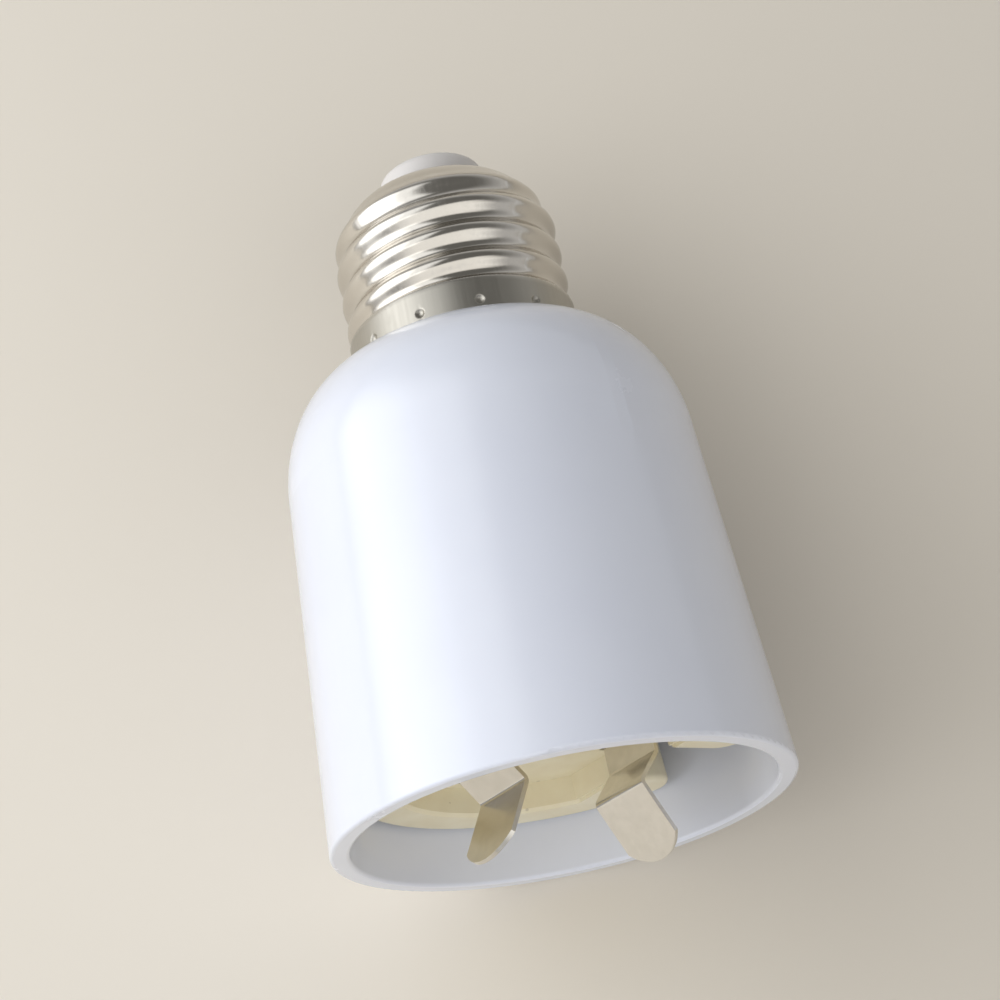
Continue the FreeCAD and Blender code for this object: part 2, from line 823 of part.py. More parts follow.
def make_heat_sleeve(side):
    """Woven sleeve over the hot end of a wire, from inside the back plate upwards."""
    inner = jacket_radius + fit_gap
    low = holder_back_z + part_gap
    sleeve = turned([
        (inner, low, 0),
        (inner + sleeve_wall, low, 0),
        (inner + sleeve_wall, low + sleeve_length, 0),
        (inner, low + sleeve_length, 0),
    ])
    sleeve.translate(Vector(0, side * pin_offset, 0))
    return holder_turn(sleeve)


# Screws

def washer_z():
    return counterbore_z - washer_thickness


def make_holder_screw(side):
    """Cross-head screw through the ceramic and its back plate into a housing pillar."""
    seat = washer_z()
    head = seat - screw_head_height
    tip = plate_back_z + screw_engagement
    screw = turned([
        (0, head, 0),
        (screw_head_radius, head, screw_head_round),
        (screw_head_radius, seat, 0),
        (screw_radius, seat, 0),
        (screw_radius, tip - screw_radius, 0),
        (screw_tip_radius, tip, 0),
        (0, tip, 0),
    ])
    half, reach = screw_cross_width / 2, screw_cross_reach
    for wide, deep in ((reach, half), (half, reach)):
        screw = screw.cut(block((-wide, -deep, head - 1), (wide, deep, head + screw_cross_depth)))
    screw.translate(Vector(0, side * screw_offset, 0))
    return holder_turn(screw)


def make_lock_washer(side):
    """Split spring washer under a screw head."""
    inner = screw_radius + fit_gap
    washer = turned([
        (inner, washer_z(), 0),
        (screw_head_radius, washer_z(), 0),
        (screw_head_radius, counterbore_z, 0),
        (inner, counterbore_z, 0),
    ])
    half = washer_slit / 2
    washer = washer.cut(block((0, -half, washer_z() - 1), (screw_head_radius + 1, half, counterbore_z + 1)))
    washer.translate(Vector(0, side * screw_offset, 0))
    return holder_turn(washer)


# Finished parts

def lay_down(shape):
    """Turns the main axis from +Z to +Y, as the adapter lies on a table."""
    shape.rotate(ORIGIN, Vector(1, 0, 0), -90)
    return shape


parts = {
    "housing": make_housing(),
    "cap_shell": make_cap_shell(),
    "centre_contact": make_centre_contact(),
    "holder_body": make_holder_body(),
    "holder_back_plate": make_back_plate(),
    "retaining_clip_right": make_clip(1),
    "retaining_clip_left": make_clip(-1),
    "clip_rivet_right": make_clip_rivet(1),
    "clip_rivet_left": make_clip_rivet(-1),
    "pin_socket_live": make_pin_socket(1),
    "pin_socket_neutral": make_pin_socket(-1),
    "socket_spring_live": make_socket_spring(1),
    "socket_spring_neutral": make_socket_spring(-1),
    "wire_crimp_live": make_wire_crimp(1),
    "wire_crimp_neutral": make_wire_crimp(-1),
    "lead_wire_live": make_wire_live(),
    "lead_wire_neutral": make_wire_neutral(),
    "heat_sleeve_live": make_heat_sleeve(1),
    "heat_sleeve_neutral": make_heat_sleeve(-1),
    "holder_screw_lower": make_holder_screw(1),
    "holder_screw_upper": make_holder_screw(-1),
    "lock_washer_lower": make_lock_washer(1),
    "lock_washer_upper": make_lock_washer(-1),
}

os.makedirs("parts", exist_ok=True)
for name, shape in parts.items():
    lay_down(shape).exportStep("parts/" + name + ".step")
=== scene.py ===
"""Looks of the lamp socket adapter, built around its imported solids.

The row frame is in metres: +Y runs from the mouth to the cap's tip, +Z is up from the table, and
the origin lies on the main axis at the seam between cap and housing.
"""

import logging
import math
from dataclasses import dataclass
from enum import Enum

import bmesh
import bpy
from mathutils import Matrix, Vector

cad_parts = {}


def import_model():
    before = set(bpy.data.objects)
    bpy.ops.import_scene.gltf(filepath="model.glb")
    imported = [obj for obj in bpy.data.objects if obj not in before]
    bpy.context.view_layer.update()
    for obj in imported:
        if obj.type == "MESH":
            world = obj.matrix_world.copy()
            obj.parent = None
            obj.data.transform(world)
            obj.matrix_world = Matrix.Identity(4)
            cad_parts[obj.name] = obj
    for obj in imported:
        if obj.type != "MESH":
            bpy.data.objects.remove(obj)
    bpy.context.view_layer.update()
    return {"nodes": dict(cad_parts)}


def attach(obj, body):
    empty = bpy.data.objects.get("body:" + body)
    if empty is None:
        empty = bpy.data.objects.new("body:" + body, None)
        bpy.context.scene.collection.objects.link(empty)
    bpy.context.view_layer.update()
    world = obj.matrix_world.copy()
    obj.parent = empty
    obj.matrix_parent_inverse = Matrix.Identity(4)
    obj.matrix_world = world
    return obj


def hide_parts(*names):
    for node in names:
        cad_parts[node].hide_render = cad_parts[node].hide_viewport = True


log = logging.getLogger("adapter")
Colour = tuple[float, float, float]
Span = tuple[float, float]
Socket = bpy.types.NodeSocket
MM = 0.001
WHOLE: Span = (0.0, 1.0)


class Slot(Enum):
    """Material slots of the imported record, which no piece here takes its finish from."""

    CAP = "nickel_cap"


class Body(Enum):
    """Rigid bodies that a new piece can ride on."""

    ADAPTER = "adapter"


class MixSocket(Enum):
    """Places of a Mix node's colour sockets, which share their names with those of its other types."""

    SHARE = 0
    FIRST = 6
    SECOND = 7
    RESULT = 2


# Shader building blocks


class NodePlan:
    """Short way to add and link nodes in one node tree."""

    def __init__(self, tree: bpy.types.NodeTree) -> None:
        """Keeps the tree that nodes are added to."""
        self.tree = tree

    def add(self, kind: str, **settings: object) -> bpy.types.Node:
        """Adds a node.

        Args:
            kind: Blender's node type name.
            settings: attributes of the node, or values of its inputs by socket name.

        Returns:
            The new node.
        """
        node = self.tree.nodes.new(kind)
        for name, value in settings.items():
            if hasattr(node, name):
                setattr(node, name, value)
            else:
                node.inputs[name.replace("_", " ").title()].default_value = value
        return node

    def group(self, effect: bpy.types.NodeTree, **values: float) -> bpy.types.Node:
        """Adds a use of a shared effect, with values for some of its inputs."""
        return self.add("ShaderNodeGroup", node_tree=effect, **values)

    def link(self, source: Socket, target: Socket) -> None:
        """Links an output to an input."""
        self.tree.links.new(source, target)

    def place(self) -> Socket:
        """Adds the object's own coordinates."""
        return self.add("ShaderNodeTexCoord").outputs["Object"]

    def height(self) -> Socket:
        """Adds the height on the main axis, for pieces that keep the row frame as their own.

        Returns:
            The height's socket, in metres.
        """
        split = self.add("ShaderNodeSeparateXYZ")
        self.link(self.place(), split.inputs[0])
        return split.outputs["Y"]

    def math(self, operation: str, first: object, second: object, clamp: bool = False) -> Socket:
        """Adds a maths node.

        Args:
            operation: Blender's name of the operation.
            first: a socket or a number.
            second: a socket or a number.
            clamp: keeps the result between 0 and 1.

        Returns:
            The result's socket.
        """
        node = self.tree.nodes.new("ShaderNodeMath")
        node.operation = operation
        node.use_clamp = clamp
        for socket, value in zip(node.inputs, (first, second)):
            if isinstance(value, Socket):
                self.link(value, socket)
            else:
                socket.default_value = value
        return node.outputs[0]

    def spread(self, value: Socket, source: Span, result: Span = WHOLE) -> Socket:
        """Maps a value from one range to another, held at the ends.

        Args:
            value: the socket to map.
            source: the values that map to the ends of the result.
            result: the first and last result.

        Returns:
            The result's socket.
        """
        node = self.tree.nodes.new("ShaderNodeMapRange")
        self.link(value, node.inputs["Value"])
        for name, number in zip(("From Min", "From Max", "To Min", "To Max"), (*source, *result)):
            node.inputs[name].default_value = number
        return node.outputs["Result"]

    def mix(self, share: object, first: object, second: object) -> Socket:
        """Mixes two colours.

        Args:
            share: socket or number, 0 for the first colour and 1 for the second.
            first: socket or colour.
            second: socket or colour.

        Returns:
            The mixed colour's socket.
        """
        node = self.tree.nodes.new("ShaderNodeMix")
        node.data_type = "RGBA"
        ends = ((MixSocket.SHARE, share), (MixSocket.FIRST, first), (MixSocket.SECOND, second))
        for end, value in ends:
            if isinstance(value, Socket):
                self.link(value, node.inputs[end.value])
            elif isinstance(value, tuple):
                node.inputs[end.value].default_value = (*value, 1.0)
            else:
                node.inputs[end.value].default_value = value
        return node.outputs[MixSocket.RESULT.value]


@dataclass(frozen=True)
class StreakKind:
    """One kind of mark in the scratches: its sockets, its turn in radians and the noise it shows at."""

    output: str
    scale: str
    turn: float
    noise: Span


@dataclass
class SharedEffects:
    """Node groups that several finishes use, each built once."""

    mottle_noise: Span = (0.2, 0.8)
    convex_from: float = 0.52
    clean_share: float = 0.8
    streaks: StreakKind = StreakKind("Streaks", "Scale", 0.0, (0.42, 0.66))
    stray: StreakKind = StreakKind("Stray", "Stray Scale", 0.7, (0.66, 0.72))

    def __post_init__(self) -> None:
        """Builds every group."""
        self.grain = self._grain()
        self.scratches = self._scratches()
        self.wear = self._wear()
        self.soiling = self._soiling()

    def _new(
        self, name: str, inputs: dict[str, float], outputs: tuple[str, ...]
    ) -> tuple[NodePlan, bpy.types.Node, bpy.types.Node]:
        """Starts a group.

        Args:
            name: the group's name.
            inputs: its inputs and their values.
            outputs: its outputs, which are all masks or heights.

        Returns:
            The group's plan, its input node and its output node.
        """
        tree = bpy.data.node_groups.new(name, "ShaderNodeTree")
        for label, value in inputs.items():
            socket = tree.interface.new_socket(label, in_out="INPUT", socket_type="NodeSocketFloat")
            socket.default_value = value
        for label in outputs:
            tree.interface.new_socket(label, in_out="OUTPUT", socket_type="NodeSocketFloat")
        return NodePlan(tree), tree.nodes.new("NodeGroupInput"), tree.nodes.new("NodeGroupOutput")

    def _grain(self) -> bpy.types.NodeTree:
        """Fine surface grain: a height and a slow mottling mask.

        Returns:
            The group.
        """
        inputs = {"Fine Scale": 2500.0, "Mottle Scale": 120.0}
        plan, start, end = self._new("surface_grain", inputs, ("Height", "Mottle"))
        place = plan.place()
        fine = plan.add("ShaderNodeTexNoise", detail=3.0)
        mottle = plan.add("ShaderNodeTexNoise", detail=4.0)
        for node, label in ((fine, "Fine Scale"), (mottle, "Mottle Scale")):
            plan.link(place, node.inputs["Vector"])
            plan.link(start.outputs[label], node.inputs["Scale"])
        plan.link(fine.outputs["Fac"], end.inputs["Height"])
        soft = plan.spread(mottle.outputs["Fac"], self.mottle_noise)
        soft.node.interpolation_type = "SMOOTHSTEP"
        plan.link(soft, end.inputs["Mottle"])
        return plan.tree

    def _scratches(self) -> bpy.types.NodeTree:
        """Fine streaks along the main axis and a few stray scratches across it, as two masks.

        Returns:
            The group.
        """
        inputs = {"Scale": 2600.0, "Stretch": 0.02, "Stray Scale": 700.0}
        plan, start, end = self._new("fine_scratches", inputs, ("Streaks", "Stray"))
        place = plan.place()
        for kind in (self.streaks, self.stray):
            turned = plan.add("ShaderNodeVectorRotate", rotation_type="EULER_XYZ")
            turned.inputs["Rotation"].default_value = (kind.turn, kind.turn, kind.turn)
            plan.link(place, turned.inputs["Vector"])
            squeeze = plan.add("ShaderNodeCombineXYZ", x=1.0, z=1.0)
            plan.link(start.outputs["Stretch"], squeeze.inputs["Y"])
            scaled = plan.add("ShaderNodeVectorMath", operation="MULTIPLY")
            plan.link(turned.outputs[0], scaled.inputs[0])
            plan.link(squeeze.outputs[0], scaled.inputs[1])
            noise = plan.add("ShaderNodeTexNoise", detail=1.0)
            plan.link(scaled.outputs[0], noise.inputs["Vector"])
            plan.link(start.outputs[kind.scale], noise.inputs["Scale"])
            plan.link(plan.spread(noise.outputs["Fac"], kind.noise), end.inputs[kind.output])
        return plan.tree

    def _wear(self) -> bpy.types.NodeTree:
        """Mask of rubbed convex edges, broken up by noise.

        Returns:
            The group.
        """
        inputs = {"Reach": 0.06, "Breakup Scale": 900.0}
        plan, start, end = self._new("edge_wear", inputs, ("Mask",))
        pointed = plan.add("ShaderNodeNewGeometry").outputs["Pointiness"]
        noise = plan.add("ShaderNodeTexNoise", detail=4.0)
        plan.link(plan.place(), noise.inputs["Vector"])
        plan.link(start.outputs["Breakup Scale"], noise.inputs["Scale"])
        above = plan.math("SUBTRACT", pointed, self.convex_from)
        lifted = plan.math("DIVIDE", above, start.outputs["Reach"], clamp=True)
        plan.link(plan.math("MULTIPLY", lifted, noise.outputs["Fac"], clamp=True), end.inputs["Mask"])
        return plan.tree

    def _soiling(self) -> bpy.types.NodeTree:
        """Mask of sparse dark specks.

        Returns:
            The group.
        """
        inputs = {"Scale": 220.0, "Threshold": 0.06}
        plan, start, end = self._new("specks", inputs, ("Mask",))
        cells = plan.add("ShaderNodeTexVoronoi")
        plan.link(plan.place(), cells.inputs["Vector"])
        plan.link(start.outputs["Scale"], cells.inputs["Scale"])
        near = plan.math("LESS_THAN", cells.outputs["Distance"], start.outputs["Threshold"])
        pick = plan.add("ShaderNodeSeparateColor")
        plan.link(cells.outputs["Color"], pick.inputs[0])
        chosen = plan.math("GREATER_THAN", pick.outputs[0], self.clean_share)
        plan.link(plan.math("MULTIPLY", near, chosen), end.inputs["Mask"])
        return plan.tree


def started_material(name: str) -> tuple[bpy.types.Material, NodePlan, bpy.types.Node]:
    """Starts a material with a Principled shader.

    Args:
        name: the material's name.

    Returns:
        The material, its node plan and its Principled shader.
    """
    material = bpy.data.materials.new(name)
    material.use_nodes = True
    tree = material.node_tree
    tree.nodes.clear()
    plan = NodePlan(tree)
    shader = tree.nodes.new("ShaderNodeBsdfPrincipled")
    output = tree.nodes.new("ShaderNodeOutputMaterial")
    plan.link(shader.outputs["BSDF"], output.inputs["Surface"])
    return material, plan, shader


def bump(plan: NodePlan, shader: bpy.types.Node, height: Socket, depth: float) -> None:
    """Feeds a height to the shader's normal.

    Args:
        plan: the material's node plan.
        shader: its Principled shader.
        height: the height's socket.
        depth: full depth of the relief in metres.
    """
    node = plan.add("ShaderNodeBump", strength=1.0, distance=depth)
    plan.link(height, node.inputs["Height"])
    plan.link(node.outputs["Normal"], shader.inputs["Normal"])


# Finishes


@dataclass(frozen=True)
class MouldedGloss:
    """Glossy moulded plastic of the housing; the nose at its end is duller, and its darker colour is
    painted shade.
    """

    name: str = "white_moulding"
    colour: Colour = (0.76, 0.79, 0.88)
    shade: Colour = (0.73, 0.76, 0.86)
    # Painted shade: the nose is the same white plastic, coloured darker and greyer for the shade it sits
    # in.
    nose: Colour = (0.70, 0.675, 0.66)
    nose_edge: Span = (21.0 * MM, 23.0 * MM)
    speck: Colour = (0.30, 0.27, 0.22)
    speck_share: float = 0.4
    speck_scale: float = 160.0
    speck_size: float = 0.03
    gloss: float = 0.20
    gloss_spread: float = 0.05
    worn_gloss: float = 0.1
    nose_gloss: float = 0.42
    coat: float = 0.35
    coat_gloss: float = 0.06
    glow: float = 0.08
    glow_reach: float = 2 * MM
    grain_scale: float = 900.0
    mottle_scale: float = 60.0
    grain_depth: float = 0.004 * MM

    def build(self, effects: SharedEffects) -> bpy.types.Material:
        """Builds the material.

        Args:
            effects: the shared node groups.

        Returns:
            The material.
        """
        material, plan, shader = started_material(self.name)
        grain = plan.group(effects.grain, fine_scale=self.grain_scale, mottle_scale=self.mottle_scale)
        mottle = grain.outputs["Mottle"]
        wear = plan.group(effects.wear)
        specks = plan.group(effects.soiling, scale=self.speck_scale, threshold=self.speck_size)
        at_nose = plan.spread(plan.height(), self.nose_edge)
        body = plan.mix(mottle, self.colour, self.shade)
        # Painted shade: the nose gets the darker nose colour.
        body = plan.mix(at_nose, body, self.nose)
        faint = plan.math("MULTIPLY", specks.outputs["Mask"], self.speck_share)
        plan.link(plan.mix(faint, body, self.speck), shader.inputs["Base Color"])
        dull = plan.spread(mottle, WHOLE, (self.gloss, self.gloss + self.gloss_spread))
        dull = plan.math("ADD", dull, plan.math("MULTIPLY", wear.outputs["Mask"], self.worn_gloss))
        duller = plan.math("MULTIPLY", at_nose, self.nose_gloss - self.gloss)
        plan.link(plan.math("ADD", dull, duller, clamp=True), shader.inputs["Roughness"])
        plan.link(plan.spread(at_nose, WHOLE, (self.coat, 0.0)), shader.inputs["Coat Weight"])
        shader.inputs["Subsurface Weight"].default_value = self.glow
        shader.inputs["Subsurface Radius"].default_value = (self.glow_reach,) * 3
        shader.inputs["Coat Roughness"].default_value = self.coat_gloss
        bump(plan, shader, grain.outputs["Height"], self.grain_depth)
        return material


@dataclass(frozen=True)
class GlazedCeramic:
    """Ivory fired ceramic with a thin glaze."""

    name: str = "ivory_glaze"
    colour: Colour = (0.86, 0.80, 0.61)
    shade: Colour = (0.80, 0.72, 0.52)
    speck: Colour = (0.35, 0.28, 0.18)
    speck_share: float = 0.35
    speck_scale: float = 500.0
    speck_size: float = 0.12
    gloss: float = 0.36
    gloss_spread: float = 0.15
    grain_scale: float = 1400.0
    mottle_scale: float = 220.0
    grain_depth: float = 0.03 * MM

    def build(self, effects: SharedEffects) -> bpy.types.Material:
        """Builds the material.

        Args:
            effects: the shared node groups.

        Returns:
            The material.
        """
        material, plan, shader = started_material(self.name)
        grain = plan.group(effects.grain, fine_scale=self.grain_scale, mottle_scale=self.mottle_scale)
        mottle = grain.outputs["Mottle"]
        specks = plan.group(effects.soiling, scale=self.speck_scale, threshold=self.speck_size)
        body = plan.mix(mottle, self.colour, self.shade)
        faint = plan.math("MULTIPLY", specks.outputs["Mask"], self.speck_share)
        plan.link(plan.mix(faint, body, self.speck), shader.inputs["Base Color"])
        dull = plan.spread(mottle, WHOLE, (self.gloss, self.gloss + self.gloss_spread))
        plan.link(dull, shader.inputs["Roughness"])
        bump(plan, shader, grain.outputs["Height"], self.grain_depth)
        return material


@dataclass(frozen=True)
class PlatedMetal:
    """Plated or bare metal with fine streaks, a few scratches and rubbed edges.

    Below a given height on the main axis the surface keeps a duller sheet finish, and its colour takes a
    darker tint there, which is painted shade that dims its reflections.
    """

    name: str
    colour: Colour
    worn: Colour
    gloss: float
    streak_gloss: float = 0.08
    streak_scale: float = 2600.0
    streak_depth: float = 0.001 * MM
    grain_scale: float = 3000.0
    mottle_scale: float = 110.0
    mottle_from: float = 0.2
    mottle_share: float = 0.35
    dull_patches: float = 0.08
    dull_and_shaded_below: float | None = None
    dull_and_shaded_fade: float = 1.0 * MM
    dull_extra: float = 0.22
    # Painted shade: a darker tint that dims the reflections below that height.
    painted_shade_tint: Colour = (0.44, 0.42, 0.375)

    def build(self, effects: SharedEffects) -> bpy.types.Material:
        """Builds the material.

        Args:
            effects: the shared node groups.

        Returns:
            The material.
        """
        material, plan, shader = started_material(self.name)
        grain = plan.group(effects.grain, fine_scale=self.grain_scale, mottle_scale=self.mottle_scale)
        mottle = grain.outputs["Mottle"]
        lines = plan.group(effects.scratches, scale=self.streak_scale)
        wear = plan.group(effects.wear)
        tone = plan.math("MULTIPLY", mottle, self.mottle_share)
        body = plan.mix(tone, self.colour, self.worn)
        dull = plan.spread(mottle, (self.mottle_from, 1.0), (self.gloss, self.gloss + self.dull_patches))
        marks = plan.math("MAXIMUM", lines.outputs["Streaks"], lines.outputs["Stray"])
        rough = plan.math("ADD", dull, plan.math("MULTIPLY", marks, self.streak_gloss), clamp=True)
        if self.dull_and_shaded_below is not None:
            edge = (self.dull_and_shaded_below - self.dull_and_shaded_fade, self.dull_and_shaded_below)
            low = plan.spread(plan.height(), edge, (1.0, 0.0))
            # Painted shade: below that height the colour takes the darker tint, besides the extra
            # roughness.
            body = plan.mix(low, body, self.painted_shade_tint)
            rough = plan.math("ADD", rough, plan.math("MULTIPLY", low, self.dull_extra), clamp=True)
        plan.link(plan.mix(wear.outputs["Mask"], body, self.worn), shader.inputs["Base Color"])
        shader.inputs["Metallic"].default_value = 1.0
        plan.link(rough, shader.inputs["Roughness"])
        bump(plan, shader, marks, self.streak_depth)
        return material


@dataclass(frozen=True)
class SoftJacket:
    """Smooth rubbery jacket of a lead."""

    name: str = "wire_jacket_white"
    colour: Colour = (0.74, 0.73, 0.69)
    shade_share: float = 0.85
    gloss: float = 0.45
    mottle_scale: float = 300.0
    grain_depth: float = 0.02 * MM

    def build(self, effects: SharedEffects) -> bpy.types.Material:
        """Builds the material.

        Args:
            effects: the shared node groups.

        Returns:
            The material.
        """
        material, plan, shader = started_material(self.name)
        grain = plan.group(effects.grain, mottle_scale=self.mottle_scale)
        darker = tuple(self.shade_share * value for value in self.colour)
        plan.link(plan.mix(grain.outputs["Mottle"], self.colour, darker), shader.inputs["Base Color"])
        shader.inputs["Roughness"].default_value = self.gloss
        bump(plan, shader, grain.outputs["Height"], self.grain_depth)
        return material


@dataclass(frozen=True)
class WovenSleeve:
    """Woven glass sleeve over the hot end of a lead."""

    name: str = "woven_glass"
    colour: Colour = (0.80, 0.78, 0.70)
    # Painted shade: the gaps between the threads are coloured darker.
    painted_gap_shade: Colour = (0.48, 0.45, 0.38)
    thread_scale: float = 260.0
    thread_turn: float = 0.78
    thread_depth: float = 0.15 * MM
    gloss: float = 0.8

    def build(self, _effects: SharedEffects) -> bpy.types.Material:
        """Builds the material from two sets of crossing threads.

        Args:
            _effects: the shared node groups, which the weave doesn't need.

        Returns:
            The material.
        """
        material, plan, shader = started_material(self.name)
        place = plan.place()
        heights = []
        for turn in (self.thread_turn, -self.thread_turn):
            turned = plan.add("ShaderNodeVectorRotate", rotation_type="X_AXIS", angle=turn)
            plan.link(place, turned.inputs["Vector"])
            wave = plan.add("ShaderNodeTexWave", bands_direction="Y", scale=self.thread_scale)
            plan.link(turned.outputs[0], wave.inputs["Vector"])
            heights.append(wave.outputs["Fac"])
        weave = plan.math("MULTIPLY", heights[0], heights[1])
        # Painted shade in the weave's gaps.
        plan.link(plan.mix(weave, self.painted_gap_shade, self.colour), shader.inputs["Base Color"])
        shader.inputs["Roughness"].default_value = self.gloss
        bump(plan, shader, weave, self.thread_depth)
        return material


CAP_NICKEL = PlatedMetal(
    "cap_nickel",
    colour=(0.62, 0.585, 0.53),
    worn=(0.74, 0.72, 0.68),
    gloss=0.15,
    streak_gloss=0.06,
    dull_patches=0.05,
    # The collar below 5 mm is rougher and gets the painted-shade tint.
    dull_and_shaded_below=5.0 * MM,
)
CLIP_NICKEL = PlatedMetal(
    "clip_nickel",
    colour=(0.82, 0.79, 0.74),
    worn=(0.66, 0.63, 0.57),
    gloss=0.18,
    streak_gloss=0.03,
    streak_scale=1500.0,
    streak_depth=0.0003 * MM,
    mottle_scale=260.0,
    dull_patches=0.05,
)
SCREW_PLATE = PlatedMetal("screw_plate", colour=(0.60, 0.60, 0.60), worn=(0.72, 0.72, 0.72), gloss=0.30)
CONTACT_BRASS = PlatedMetal("contact_brass", colour=(0.66, 0.52, 0.27), worn=(0.75, 0.63, 0.38), gloss=0.30)


class Finishes:
    """Every finish of the adapter, built once."""

    def __init__(self) -> None:
        """Builds the shared groups and then each material."""
        effects = SharedEffects()
        self.housing = MouldedGloss().build(effects)
        self.ceramic = GlazedCeramic().build(effects)
        self.cap = CAP_NICKEL.build(effects)
        self.spring = CLIP_NICKEL.build(effects)
        self.screw = SCREW_PLATE.build(effects)
        self.brass = CONTACT_BRASS.build(effects)
        self.jacket = SoftJacket().build(effects)
        self.sleeve = WovenSleeve().build(effects)


# The adapter's sub-assemblies


@dataclass
class SubAssembly:
    """What every sub-assembly needs: the frame's nodes and the finishes."""

    nodes: dict[str, bpy.types.Object]
    finishes: Finishes

    def dress(self, finish: bpy.types.Material, *names: str) -> list[str]:
        """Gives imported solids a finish, without touching their meshes.

        Args:
            finish: the material.
            names: the solids' names.

        Returns:
            The solids' names.
        """
        for name in names:
            node = self.nodes[name]
            if not node.material_slots:
                node.data.materials.append(None)
            for holder in node.material_slots:
                holder.link = "OBJECT"
                holder.material = finish
        return list(names)


@dataclass
class Housing(SubAssembly):
    """White bell with its neck and nose."""

    def build(self) -> list[str]:
        """Dresses the housing and gives its name."""
        return self.dress(self.finishes.housing, "housing")


def smooth_step(share: float) -> float:
    """Eases a share from 0 to 1, held at both ends."""
    held = min(max(share, 0.0), 1.0)
    return held * held * (3 - 2 * held)


